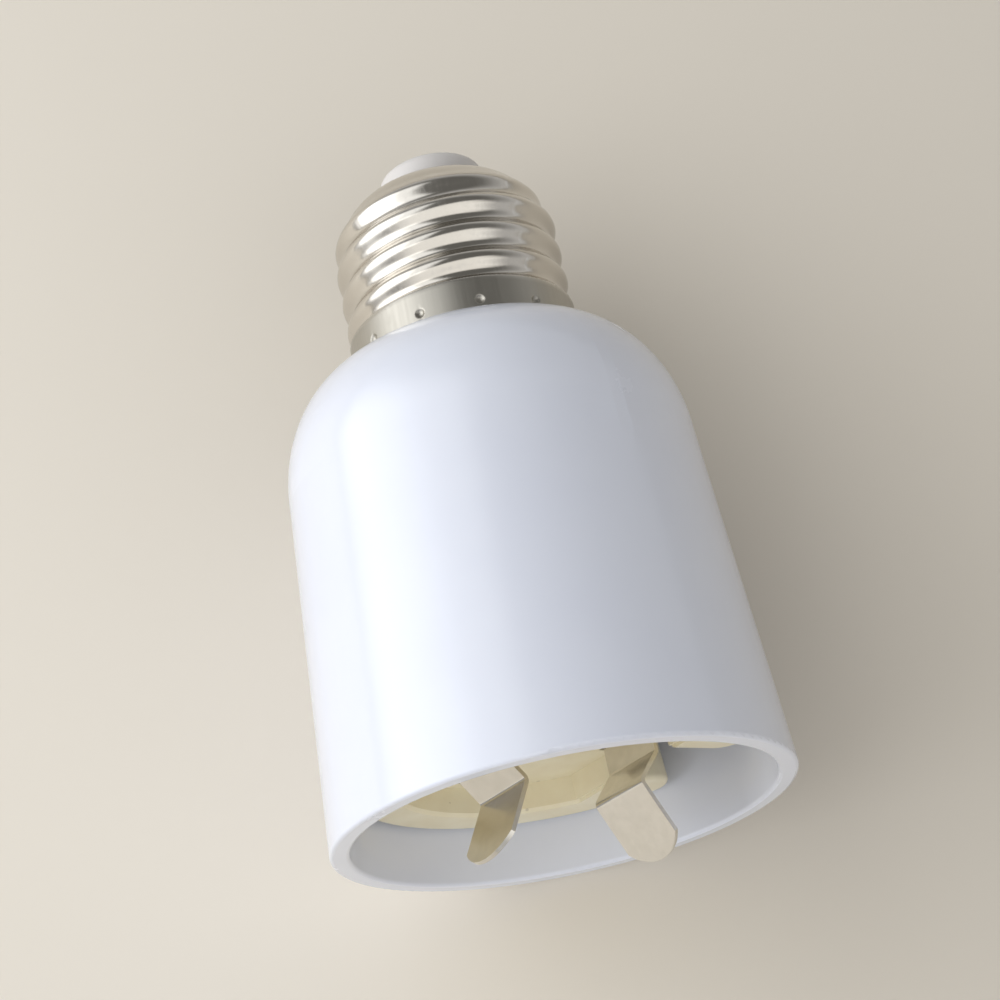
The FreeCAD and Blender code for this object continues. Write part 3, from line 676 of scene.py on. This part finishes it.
@dataclass
class ScrewCap(SubAssembly):
    """Threaded metal cap and its centre contact. Sizes are in millimetres and degrees."""

    collar_radius: float = 13.2
    collar_length: float = 4.4
    collar_step: float = 0.75
    root_radius: float = 12.25
    thread_depth: float = 0.9
    thread_pitch: float = 3.629
    thread_round: float = 1.025
    thread_phase: float = 0.86
    fade_start: float = 15.4
    fade_end: float = 20.8
    dome_start: float = 15.2
    dome_end: float = 23.45
    dome_bulge: float = 2.5
    opening_radius: float = 6.45
    sheet: float = 0.3
    punch_count: int = 12
    punch_angle: float = 11.5
    punch_height: float = 1.65
    punch_radius: float = 0.62
    punch_centre: float = 13.48
    punch_spread: float = 3.0
    fine_step: float = 0.5
    coarse_step: float = 3.0
    edge_rows: int = 3
    punch_rows: int = 12
    collar_rows: int = 4
    rows_per_turn: int = 24
    dome_rows: int = 36
    sharp_angle: float = 75.0

    def thread_height(self, turns: float, height: float) -> float:
        """Height of the rolled thread above its root: arcs at crest and root, joined by straight flanks.

        Args:
            turns: angle round the cap in whole turns.
            height: height above the seam.

        Returns:
            The thread's height.
        """
        along = (height - self.thread_phase) / self.thread_pitch - turns
        distance = abs(along - round(along)) * self.thread_pitch
        half = self.thread_pitch / 2
        reach = 2 * self.thread_round - self.thread_depth
        lean = math.asin(2 * self.thread_round / math.hypot(half, reach)) - math.atan2(reach, half)
        arc = self.thread_round * math.sin(lean)
        if distance < arc:
            return self.thread_depth - self.thread_round + math.sqrt(self.thread_round**2 - distance**2)
        if distance < half - arc:
            drop = self.thread_round * (1 - math.cos(lean))
            return self.thread_depth - drop - (distance - arc) * math.tan(lean)
        return self.thread_round - math.sqrt(self.thread_round**2 - (half - distance) ** 2)

    def punch_dent(self, angle: float, height: float, inset: float) -> float:
        """How far the nearest punch presses the collar in.

        Args:
            angle: angle round the cap in degrees.
            height: height above the seam.
            inset: depth of the skin below the outside.

        Returns:
            The depth of the dent, 0 outside it.
        """
        spacing = 360 / self.punch_count
        off = (angle - self.punch_angle + spacing / 2) % spacing - spacing / 2
        away = (math.radians(off) * self.collar_radius) ** 2 + (height - self.punch_height) ** 2
        ball = (self.punch_radius + inset) ** 2
        if away >= ball:
            return 0.0
        return max(0.0, self.collar_radius - inset - self.punch_centre + math.sqrt(ball - away))

    def angles(self) -> list[float]:
        """Angles of the mesh's columns: close together at the punches and wide apart between them.

        Returns:
            The angles in degrees, in order round the cap.
        """
        spacing = 360 / self.punch_count
        fine = round(2 * self.punch_spread / self.fine_step)
        coarse = round((spacing - 2 * self.punch_spread) / self.coarse_step)
        found = []
        for i in range(self.punch_count):
            start = self.punch_angle + i * spacing - self.punch_spread
            found += [start + k * self.fine_step for k in range(fine)]
            found += [start + 2 * self.punch_spread + k * self.coarse_step for k in range(coarse)]
        return found

    def heights(self) -> list[float]:
        """Heights of the mesh's rows up to the dome.

        Returns:
            The heights in millimetres, from the seam up.
        """
        low, high = self.punch_height - self.punch_radius, self.punch_height + self.punch_radius
        found = [low * k / self.edge_rows for k in range(self.edge_rows)]
        found += [low + (high - low) * k / self.punch_rows for k in range(self.punch_rows + 1)]
        above = self.collar_length - high
        found += [high + above * k / self.collar_rows for k in range(1, self.collar_rows + 1)]
        rise = self.thread_pitch / self.rows_per_turn
        count = round((self.dome_start - self.collar_length) / rise)
        step = (self.dome_start - self.collar_length) / count
        return found + [self.collar_length + step * k for k in range(1, count)]

    def place(self, angle: float, radius: float, height: float) -> Vector:
        """Point of the row frame at an angle, radius and height of the cap."""
        turn = math.radians(angle)
        return Vector((radius * math.cos(turn), height, -radius * math.sin(turn))) * MM

    def wall(self, inset: float) -> list[list[Vector]]:
        """Rows of points of the collar and the straight thread.

        Args:
            inset: depth of the skin below the outside.

        Returns:
            The rows, each a list of points in metres.
        """
        rows = []
        for height in self.heights():
            ease = smooth_step((height - self.collar_length) / self.collar_step)
            row = []
            for angle in self.angles():
                thread = self.root_radius + self.thread_height(angle / 360, height)
                radius = self.collar_radius + (thread - self.collar_radius) * ease - inset
                radius -= self.punch_dent(angle, height, inset)
                row.append(self.place(angle, radius, height))
            rows.append(row)
        return rows

    def dome(self, inset: float) -> list[list[Vector]]:
        """Rows of points of the dome, which the thread runs out into.

        Args:
            inset: depth of the skin below the outside.

        Returns:
            The rows, each a list of points in metres.
        """
        rows = []
        power = 2 / self.dome_bulge
        last = math.acos((self.opening_radius / self.root_radius) ** (1 / power))
        rise = self.dome_end - self.dome_start
        for i in range(self.dome_rows + 1):
            turn = last * i / self.dome_rows
            radius = self.root_radius * math.cos(turn) ** power
            height = self.dome_start + rise * math.sin(turn) ** power
            slope_out = (radius / self.root_radius) ** (self.dome_bulge - 1) / self.root_radius
            slope_up = ((height - self.dome_start) / rise) ** (self.dome_bulge - 1) / rise
            out = Vector((slope_out, slope_up)).normalized()
            fade = 1 - smooth_step((height - self.fade_start) / (self.fade_end - self.fade_start))
            row = []
            for angle in self.angles():
                lift = self.thread_height(angle / 360, height) * fade - inset
                row.append(self.place(angle, radius + out.x * lift, height + out.y * lift))
            rows.append(row)
        return rows

    def shell(self) -> bpy.types.Object:
        """Builds the cap's sheet metal as one closed mesh: the outer skin up and the inner skin down.

        Returns:
            The cap's object.
        """
        outer = self.wall(0.0) + self.dome(0.0)
        inner = self.wall(self.sheet) + self.dome(self.sheet)
        rows = outer + inner[::-1]
        columns = len(rows[0])
        faces = []
        for i in range(len(rows)):
            here, above = i * columns, (i + 1) % len(rows) * columns
            for k in range(columns):
                side = (k + 1) % columns
                faces.append((here + k, here + side, above + side, above + k))
        mesh = bpy.data.meshes.new("screw_cap_sheet")
        mesh.from_pydata([point for row in rows for point in row], [], faces)
        work = bmesh.new()
        work.from_mesh(mesh)
        bmesh.ops.recalc_face_normals(work, faces=work.faces)
        work.to_mesh(mesh)
        work.free()
        mesh.shade_smooth()
        mesh.set_sharp_from_angle(angle=math.radians(self.sharp_angle))
        cap = bpy.data.objects.new("screw_cap_sheet", mesh)
        bpy.context.scene.collection.objects.link(cap)
        mesh.materials.append(self.finishes.cap)
        return cap

    def build(self) -> list[str]:
        """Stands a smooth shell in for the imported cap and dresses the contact.

        Returns:
            The names of both pieces.
        """
        cap = self.shell()
        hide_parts("cap_shell")
        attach(cap, Body.ADAPTER.value)
        return [cap.name, *self.dress(self.finishes.brass, "centre_contact")]


@dataclass
class LampHolder(SubAssembly):
    """Ceramic holder with its cover, clips, sockets and screws."""

    def build(self) -> list[str]:
        """Dresses the holder's pieces.

        Returns:
            The pieces' names.
        """
        ceramic = ("holder_body", "holder_back_plate")
        clips = ("retaining_clip_right", "retaining_clip_left")
        springs = ("socket_spring_live", "socket_spring_neutral")
        rivets = ("clip_rivet_right", "clip_rivet_left")
        screws = ("holder_screw_lower", "holder_screw_upper", "lock_washer_lower", "lock_washer_upper")
        contacts = ("pin_socket_live", "pin_socket_neutral", "wire_crimp_live", "wire_crimp_neutral")
        return [
            *self.dress(self.finishes.ceramic, *ceramic),
            *self.dress(self.finishes.spring, *clips, *springs),
            *self.dress(self.finishes.screw, *rivets, *screws),
            *self.dress(self.finishes.brass, *contacts),
        ]


@dataclass
class Leads(SubAssembly):
    """The two leads and their heat sleeves."""

    def build(self) -> list[str]:
        """Dresses the leads and their sleeves and gives their names."""
        wires = self.dress(self.finishes.jacket, "lead_wire_live", "lead_wire_neutral")
        return wires + self.dress(self.finishes.sleeve, "heat_sleeve_live", "heat_sleeve_neutral")


# Stage, light and camera


@dataclass(frozen=True)
class Panel:
    """A broad light with soft edges: the angles and distance it stands at, its size and its brightness.

    Angles are in degrees, from the row's +X and from level, and sizes in metres. With x as the share
    of the way across, the light is at full strength where x * (1 - x) is at least edge_fade. Its
    power is power_factor times its area times its radiance.
    """

    name: str
    azimuth: float
    elevation: float
    distance: float
    width: float
    height: float
    radiance: float
    colour: Colour
    edge_fade: float = 0.2
    power_factor: float = 4.0

    def build(self, centre: Vector) -> None:
        """Adds the light.

        Args:
            centre: the point that it faces.
        """
        azimuth, elevation = math.radians(self.azimuth), math.radians(self.elevation)
        flat = math.cos(elevation)
        towards = Vector((flat * math.cos(azimuth), flat * math.sin(azimuth), math.sin(elevation)))
        data = bpy.data.lights.new(self.name, "AREA")
        data.shape = "RECTANGLE"
        data.size, data.size_y = self.width, self.height
        data.energy = self.power_factor * self.width * self.height * self.radiance
        data.color = self.colour
        data.use_nodes = True
        plan = NodePlan(data.node_tree)
        spot = plan.add("ShaderNodeSeparateXYZ")
        plan.link(plan.add("ShaderNodeNewGeometry").outputs["Parametric"], spot.inputs[0])
        fades = []
        for across in (spot.outputs["X"], spot.outputs["Y"]):
            inward = plan.math("MULTIPLY", across, plan.math("SUBTRACT", 1.0, across))
            fades.append(plan.spread(inward, (0.0, self.edge_fade)))
        strength = data.node_tree.nodes["Emission"].inputs["Strength"]
        plan.link(plan.math("MULTIPLY", fades[0], fades[1]), strength)
        light = bpy.data.objects.new(self.name, data)
        light.location = centre + towards * self.distance
        light.rotation_mode = "QUATERNION"
        light.rotation_quaternion = towards.to_track_quat("Z", "Y")
        bpy.context.scene.collection.objects.link(light)


WINDOW_COLOUR: Colour = (0.97, 0.985, 1.0)
PANELS = (
    Panel(
        "window",
        azimuth=172.0,
        elevation=29.0,
        distance=0.45,
        width=0.9,
        height=0.45,
        radiance=1.85,
        colour=WINDOW_COLOUR,
    ),
    Panel(
        "window_top",
        azimuth=165.0,
        elevation=62.0,
        distance=0.45,
        width=0.9,
        height=0.3,
        radiance=0.95,
        colour=WINDOW_COLOUR,
    ),
    Panel(
        "room_fill",
        azimuth=-80.0,
        elevation=48.0,
        distance=0.8,
        width=1.8,
        height=0.95,
        radiance=0.8,
        colour=(1.0, 0.99, 0.97),
    ),
)


@dataclass
class Studio:
    """Pale table, soft lights and the camera at the photograph's angle."""

    table_height: float = -25.4 * MM
    mouth_y: float = -54.5 * MM
    lean: float = math.radians(3.2)
    table_size: float = 3.0
    table_colour: Colour = (0.76, 0.71, 0.63)
    table_shade: Colour = (0.72, 0.665, 0.58)
    table_mottle: float = 25.0
    table_gloss: float = 0.6
    lit_centre: tuple[float, float, float] = (0.0, -15 * MM, 0.0)
    overhead: Colour = (0.16, 0.158, 0.152)
    horizon: Colour = (0.60, 0.60, 0.60)
    sky_span: Span = (0.12, 0.6)
    camera_place: tuple[float, float, float] = (0.5 * MM, -120.9 * MM, 248.5 * MM)
    camera_tilt: float = 0.39584
    camera_roll: float = -0.20935
    camera_yaw: float = 0.0012
    camera_reach: Span = (0.01, 10.0)
    lens: float = 86.4
    sensor: float = 36.0

    def table(self) -> None:
        """Adds the table top, which touches the housing all along its tapered side."""
        mesh = bpy.data.meshes.new("table_top")
        half = self.table_size / 2
        rim = [(-half, -half, 0), (half, -half, 0), (half, half, 0), (-half, half, 0)]
        mesh.from_pydata(rim, [], [(0, 1, 2, 3)])
        table = bpy.data.objects.new("table_top", mesh)
        bpy.context.scene.collection.objects.link(table)
        lean = Matrix.Rotation(self.lean, 4, "X")
        table.matrix_world = Matrix.Translation((0, self.mouth_y, self.table_height)) @ lean
        material, plan, shader = started_material("table_pale")
        noise = plan.add("ShaderNodeTexNoise", detail=4.0, scale=self.table_mottle)
        surface = plan.mix(noise.outputs["Fac"], self.table_colour, self.table_shade)
        plan.link(surface, shader.inputs["Base Color"])
        shader.inputs["Roughness"].default_value = self.table_gloss
        mesh.materials.append(material)

    def lights(self) -> None:
        """Adds the window on the left, the fill from the mouth's side and the dimmer surroundings."""
        centre = Vector(self.lit_centre)
        for panel in PANELS:
            panel.build(centre)
        world = bpy.data.worlds.new("surroundings")
        bpy.context.scene.world = world
        world.use_nodes = True
        plan = NodePlan(world.node_tree)
        direction = plan.add("ShaderNodeSeparateXYZ")
        plan.link(plan.add("ShaderNodeTexCoord").outputs["Generated"], direction.inputs[0])
        upward = plan.spread(direction.outputs["Z"], self.sky_span)
        colour = plan.mix(upward, self.horizon, self.overhead)
        plan.link(colour, world.node_tree.nodes["Background"].inputs["Color"])

    def camera(self) -> None:
        """Adds the camera: it looks down, is tilted towards the cap and rolled."""
        data = bpy.data.cameras.new("camera")
        data.lens = self.lens
        data.sensor_width = self.sensor
        data.clip_start, data.clip_end = self.camera_reach
        camera = bpy.data.objects.new("camera", data)
        turn = Matrix.Rotation(self.camera_tilt, 4, "X") @ Matrix.Rotation(self.camera_roll, 4, "Z")
        turn = turn @ Matrix.Rotation(self.camera_yaw, 4, "Y")
        camera.matrix_world = Matrix.Translation(self.camera_place) @ turn
        bpy.context.scene.collection.objects.link(camera)
        bpy.context.scene.camera = camera

    def build(self) -> None:
        """Sets the stage."""
        self.table()
        self.lights()
        self.camera()
        bpy.context.scene.view_settings.view_transform = "Standard"


def main() -> None:
    """Builds every sub-assembly in order."""
    logging.basicConfig(level=logging.INFO, format="%(name)s: %(message)s")
    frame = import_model()
    finishes = Finishes()
    nodes = frame["nodes"]
    for kind in (Housing, ScrewCap, LampHolder, Leads):
        for piece in kind(nodes, finishes).build():
            log.info("%s: built %s", kind.__name__, piece)
    Studio().build()


if __name__ == "__main__":
    main()
